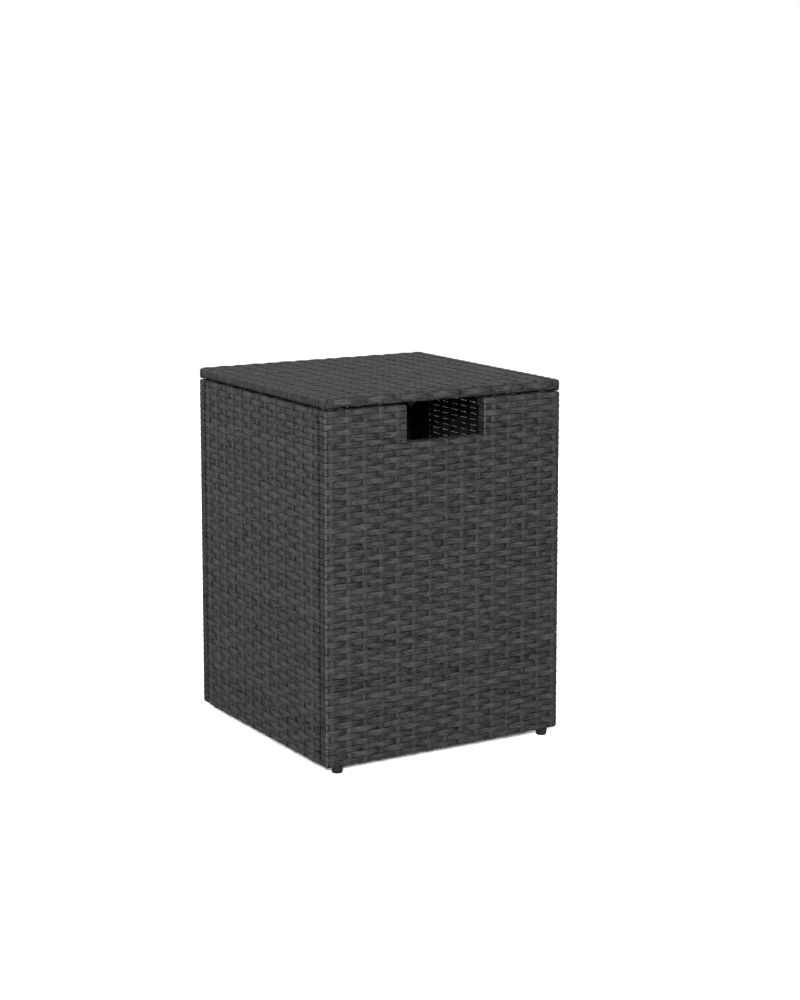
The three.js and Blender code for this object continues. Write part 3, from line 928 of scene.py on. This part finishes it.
lid_upright = [stakes(lid_panel, LID_LENGTH, lid_numbers, 0.0, LID_DEPTH, LID_ROW_PITCH, lid_weft)]
woven_piece("lid_stakes", lid_upright, lid_place, "lid", "lid_weave")

# %% [markdown]
# ## Paint, zinc and black plastic
#
# The steel tubes are powder coated: satin black with the faint dimples of baked powder. The bolts, washers
# and inserts are zinc plated and a little cloudy. The feet and pegs are moulded black plastic with a fine
# grain.

# %% Make the other materials
SLOW_SCALE = 25.0
ROUGHNESS_SPREAD = 0.3


def grained_material(name, colour, spread, roughness, metal, grain, depth):
    """A material with a fine grain, whose colour and roughness drift slowly over the piece."""
    material, tree, shader, _ = material_tree(name)
    spot = put(tree, "ShaderNodeTexCoord").outputs["Object"]
    fine = put(tree, "ShaderNodeTexNoise", {"Vector": spot, "Scale": grain, "Detail": 2.0})
    slow = put(tree, "ShaderNodeTexNoise", {"Vector": spot, "Scale": SLOW_SCALE, "Detail": 3.0})
    drift = Number(tree, slow.outputs[0]) - 0.5
    shade = drift * spread + 1.0
    tint = put(tree, "ShaderNodeVectorMath", {0: colour[:3], "Scale": shade.socket}, operation="SCALE")
    tree.links.new(tint.outputs[0], shader.inputs["Base Color"])
    tree.links.new((drift * ROUGHNESS_SPREAD + roughness).socket, shader.inputs["Roughness"])
    shader.inputs["Metallic"].default_value = metal
    bump = put(tree, "ShaderNodeBump", {"Height": fine.outputs[0], "Distance": depth, "Strength": 0.5})
    tree.links.new(bump.outputs[0], shader.inputs["Normal"])
    return material


PAINT = {"spread": 0.5, "roughness": 0.42, "metal": 0.0, "grain": 900.0, "depth": 0.1 * MM}
ZINC = {"spread": 0.3, "roughness": 0.3, "metal": 1.0, "grain": 2500.0, "depth": 0.03 * MM}
PLASTIC = {"spread": 0.4, "roughness": 0.5, "metal": 0.0, "grain": 1800.0, "depth": 0.06 * MM}
finishes = {
    "frame_paint": grained_material("black_paint", from_srgb(18, 18, 19), **PAINT),
    "zinc_steel": grained_material("zinc_plate", from_srgb(188, 190, 193), **ZINC),
    "black_plastic": grained_material("black_plastic", from_srgb(20, 20, 20), **PLASTIC),
}
print("finishes:", sorted(finishes))

# %% [markdown]
# ## Smooth shading with sharp edges
#
# A round piece is a many-sided one with smooth shading. Shading smooths over real corners as well, unless
# these are marked sharp, so the nodes below smooth every face and then mark each edge that turns by more
# than 50 degrees.

# %% Smooth the shallow edges
SMOOTH_ANGLE = math.radians(50)


def smoothed(tree, geometry):
    """Adds nodes that smooth the shading across shallow edges and keep the sharp ones."""
    angle = Number(tree, put(tree, "GeometryNodeInputMeshEdgeAngle").outputs[0])
    shallow = angle.math("LESS_THAN", SMOOTH_ANGLE)
    smooth = put(tree, "GeometryNodeSetShadeSmooth", {"Geometry": geometry}, domain="FACE")
    fields = {"Geometry": smooth.outputs[0], "Shade Smooth": shallow.socket}
    return put(tree, "GeometryNodeSetShadeSmooth", fields, domain="EDGE").outputs[0]


# %% [markdown]
# ## Feet, pegs, bolts, washers and inserts
#
# The small pieces are round, so each is drawn as half a section and spun. A section is a list of corners:
# radius, height and rounding in millimetres, with height 0 at the end that it faces with. The bolt's
# hexagon socket is made of rings too, whose points lie on six flats. A small tree then sets a copy of the
# shape on a point for each place and turns it the right way.

# %% Spin a section
SPIN_SIDES = 48
ROUNDING_STEPS = 4


def eased(corners):
    """A section's outline, with each corner rounded by its third number."""
    outline = []
    for index, (radius, height, rounding) in enumerate(corners):
        corner = Vector((radius, height))
        before = Vector(corners[index - 1][:2])
        after = Vector(corners[(index + 1) % len(corners)][:2])
        start = corner + (before - corner).normalized() * rounding
        end = corner + (after - corner).normalized() * rounding
        steps = ROUNDING_STEPS if rounding else 0
        for step in range(steps + 1):
            share = step / max(steps, 1)
            outline.append(start.lerp(corner, share).lerp(corner.lerp(end, share), share))
    return outline


def ring(mesh, radius, height, hexagonal):
    """A ring of points, or one point on the axis. A hexagonal ring's radius is measured to its flats."""
    points = []
    for step in range(SPIN_SIDES if radius else 1):
        angle = 2 * math.pi * step / SPIN_SIDES
        from_flat = angle % (math.pi / 3) - math.pi / 6
        reach = MM * (radius / math.cos(from_flat) if hexagonal else radius)
        points.append(mesh.verts.new((reach * math.cos(angle), reach * math.sin(angle), MM * height)))
    return points


def spun(name, corners, socket=()):
    """Spins a section. It starts on the axis, or in a socket of hexagonal rings, or closes round a bore."""
    mesh = bmesh.new()
    rings = [ring(mesh, radius, height, True) for radius, height in socket]
    rings += [ring(mesh, radius, height, False) for radius, height in eased(corners)]
    if len(rings[0]) > 1:
        rings.append(rings[0])
    for near, far in zip(rings, rings[1:]):
        for step in range(SPIN_SIDES):
            after = step + 1
            face = [near[step % len(near)], near[after % len(near)]]
            face += [far[after % len(far)], far[step % len(far)]]
            mesh.faces.new(list(dict.fromkeys(face)))
    bmesh.ops.recalc_face_normals(mesh, faces=mesh.faces)
    data = bpy.data.meshes.new(name)
    mesh.to_mesh(data)
    shape = bpy.data.objects.new(name, data)
    scene.collection.objects.link(shape)
    print(name, "has", len(data.polygons), "faces and volume", round(mesh.calc_volume() / MM**3), "mm3")
    mesh.free()
    return shape


# %% Copy a shape to its places


def copies_tree():
    """A copy of a shape on every point, turned so that its z axis follows the point's facing."""
    tree = bpy.data.node_groups.new("copies", "GeometryNodeTree")
    tree.interface.new_socket("Geometry", in_out="INPUT", socket_type="NodeSocketGeometry")
    tree.interface.new_socket("Shape", in_out="INPUT", socket_type="NodeSocketObject")
    tree.interface.new_socket("Material", in_out="INPUT", socket_type="NodeSocketMaterial")
    tree.interface.new_socket("Geometry", in_out="OUTPUT", socket_type="NodeSocketGeometry")
    given = put(tree, "NodeGroupInput").outputs
    shape = put(tree, "GeometryNodeObjectInfo", {"Object": given["Shape"]}).outputs["Geometry"]
    facing = put(tree, "GeometryNodeInputNamedAttribute", {"Name": "facing"}, data_type="FLOAT_VECTOR")
    turn = put(tree, "FunctionNodeAlignRotationToVector", {"Vector": facing.outputs[0]}, axis="Z")
    fields = {"Points": given["Geometry"], "Instance": shape, "Rotation": turn.outputs[0]}
    copied = put(tree, "GeometryNodeInstanceOnPoints", fields)
    real = put(tree, "GeometryNodeRealizeInstances", {"Geometry": copied.outputs[0]})
    cleaned = put(tree, "GeometryNodeRemoveAttribute", {"Geometry": real.outputs[0], "Name": "facing"})
    shaded = smoothed(tree, cleaned.outputs[0])
    finished = put(tree, "GeometryNodeSetMaterial", {"Geometry": shaded, "Material": given["Material"]})
    put(tree, "NodeGroupOutput", {"Geometry": finished.outputs[0]})
    return tree


copying = copies_tree()


def facing_end(node, facing):
    """The middle of a node's box on the side that it faces."""
    low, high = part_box(node)
    spans = zip(low, high, facing)
    return [(near + far) / 2 + (far - near) / 2 * way for near, far, way in spans]


def small_pieces(name, shape, body, slot, ways):
    """One piece of all the copies of a shape. ways gives the facing for the start of a node's name."""
    kind = shape.name.split("_")[0]
    places = [(node, ways[node.split("_")[0]]) for node in sorted(frame["nodes"]) if node.endswith(kind)]
    start = bpy.data.meshes.new(name)
    start.from_pydata([facing_end(node, way) for node, way in places], [], [])
    facing = start.attributes.new("facing", "FLOAT_VECTOR", "POINT")
    facing.data.foreach_set("vector", [part for _, way in places for part in way])
    mesh = worked_out(copying, start, {"Shape": shape, "Material": finishes[slot]})
    mesh.name = name
    bpy.data.objects.remove(shape)
    piece = bpy.data.objects.new(name, mesh)
    scene.collection.objects.link(piece)
    fitted(piece, body, [node for node, _ in places])


# %% Make the feet and pegs
UP = {"front": (0, 0, 1), "back": (0, 0, 1)}
foot = [(0, 0, 0), (3, 0, 0.4), (3, -10, 0), (9.5, -10, 0.5), (8, -21.2, 1.6), (0, -21.2, 0)]
small_pieces("feet", spun("foot_shape", foot), "base", "black_plastic", UP)
root = [(0, 0, 0), (3, 0, 0.4), (3, -8, 0)]
pad = [(5.5, -8, 0.4), (5.5, -9.9, 0.4)]
stem = [(3.5, -9.9, 0), (3.5, -14.4, 1.5), (2, -18.9, 0.5), (0, -18.9, 0)]
small_pieces("pegs", spun("peg_shape", root + pad + stem), "lid", "black_plastic", UP)

# %% [markdown]
# The bolts, washers and inserts face the inside of the box: their nodes' names start with the wall that
# they are on, which gives the way.

# %% Make the bolts, washers and inserts
INWARDS = {"front": (0, 1, 0), "back": (0, -1, 0)}
hexagon = [(0, -2.6), (2, -2), (2, -0.2), (2.15, 0)]
head = [(3.3, 0, 0.5), (5.5, -1.65, 1.2), (5.5, -3.3, 0.15)]
shank = [(3, -3.3, 0), (3, -19.3, 0.6), (0, -19.3, 0)]
small_pieces("bolts", spun("bolt_shape", head + shank, hexagon), "base", "zinc_steel", INWARDS)
washer = [(3.3, 0, 0.15), (7, 0, 0.3), (7, -1.5, 0.15), (3.3, -1.5, 0.15)]
small_pieces("washers", spun("washer_shape", washer), "base", "zinc_steel", INWARDS)
flange = [(3.3, 0, 0.4), (6.5, 0, 0.4), (6.5, -4.4, 0.2)]
sleeve = [(4.5, -4.4, 0), (4.5, -14.4, 0.4), (3.3, -14.4, 0.2)]
small_pieces("inserts", spun("insert_shape", flange + sleeve), "base", "zinc_steel", INWARDS)

# %% [markdown]
# ## Finish the frames
#
# The frames keep their solids. Their tubes' round edges are cut into a few flats, which the same nodes
# smooth, here as a modifier that stays on the piece.

# %% Paint the frames


def smoothing_tree():
    tree = bpy.data.node_groups.new("smooth_shallow_edges", "GeometryNodeTree")
    tree.interface.new_socket("Geometry", in_out="INPUT", socket_type="NodeSocketGeometry")
    tree.interface.new_socket("Geometry", in_out="OUTPUT", socket_type="NodeSocketGeometry")
    given = put(tree, "NodeGroupInput").outputs["Geometry"]
    put(tree, "NodeGroupOutput", {"Geometry": smoothed(tree, given)})
    return tree


smoothing = smoothing_tree()
frames = [part["node"] for part in frame["record"]["subparts"] if part["material_slot"] == "frame_paint"]
for node in frames:
    steel = frame["nodes"][node]
    steel.data.materials.clear()
    steel.data.materials.append(finishes["frame_paint"])
    steel.modifiers.new("smooth", "NODES").node_group = smoothing
print("painted", sorted(frames))
